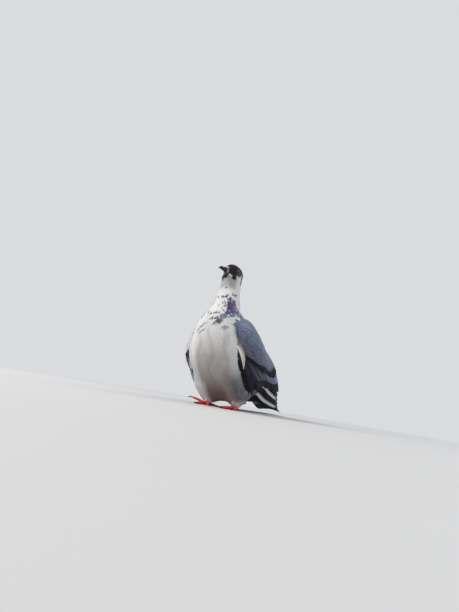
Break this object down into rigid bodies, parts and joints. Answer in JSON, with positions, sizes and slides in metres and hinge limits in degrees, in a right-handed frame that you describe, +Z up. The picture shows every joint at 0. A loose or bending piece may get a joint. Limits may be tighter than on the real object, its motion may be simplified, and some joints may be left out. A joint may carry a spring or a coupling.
{
  "type": "pigeon",
  "caption": "Life-size standing town pigeon, plump and alert with its neck stretched up, white with blue-grey barred wings, folded wings, dark tail and red feet.",
  "frame": {"origin": "under the middle of the whole bird, at the level of its feet", "axes": "+Z up; the bird faces -Y, and +X is its left side"},
  "size_m": [0.1246, 0.257, 0.2229],
  "materials": {
    "plumage_white": "matt feathers, white with grey and dark flecks",
    "plumage_grey": "matt feathers, blue-grey with pale edges and dark bars",
    "plumage_dark": "matt feathers, slate to near black",
    "bill": "smooth dark horn",
    "cere": "chalky, faintly pink skin",
    "eye": "wet and glossy, orange iris round a dark pupil",
    "leg": "red scaly skin",
    "claw": "dark horn"
  },
  "bodies": {
    "root": {"head": "plumage_white", "neck": "plumage_white", "trunk": "plumage_white", "tail": "plumage_dark", "bill_upper": "bill", "bill_lower": "bill", "cere_left": "cere", "eye_left": "eye", "thigh_left": "plumage_white", "wing_left_coverts": "plumage_grey", "wing_left_secondaries": "plumage_dark", "wing_left_primaries": "plumage_dark", "shank_left": "leg", "toe_left_inner": "leg", "claw_left_inner": "claw", "toe_left_middle": "leg", "claw_left_middle": "claw", "toe_left_outer": "leg", "claw_left_outer": "claw", "toe_left_hind": "leg", "claw_left_hind": "claw", "cere_right": "cere", "eye_right": "eye", "thigh_right": "plumage_white", "wing_right_coverts": "plumage_grey", "wing_right_secondaries": "plumage_dark", "wing_right_primaries": "plumage_dark", "shank_right": "leg", "toe_right_inner": "leg", "claw_right_inner": "claw", "toe_right_middle": "leg", "claw_right_middle": "claw", "toe_right_outer": "leg", "claw_right_outer": "claw", "toe_right_hind": "leg", "claw_right_hind": "claw"}
  },
  "joints": []
}
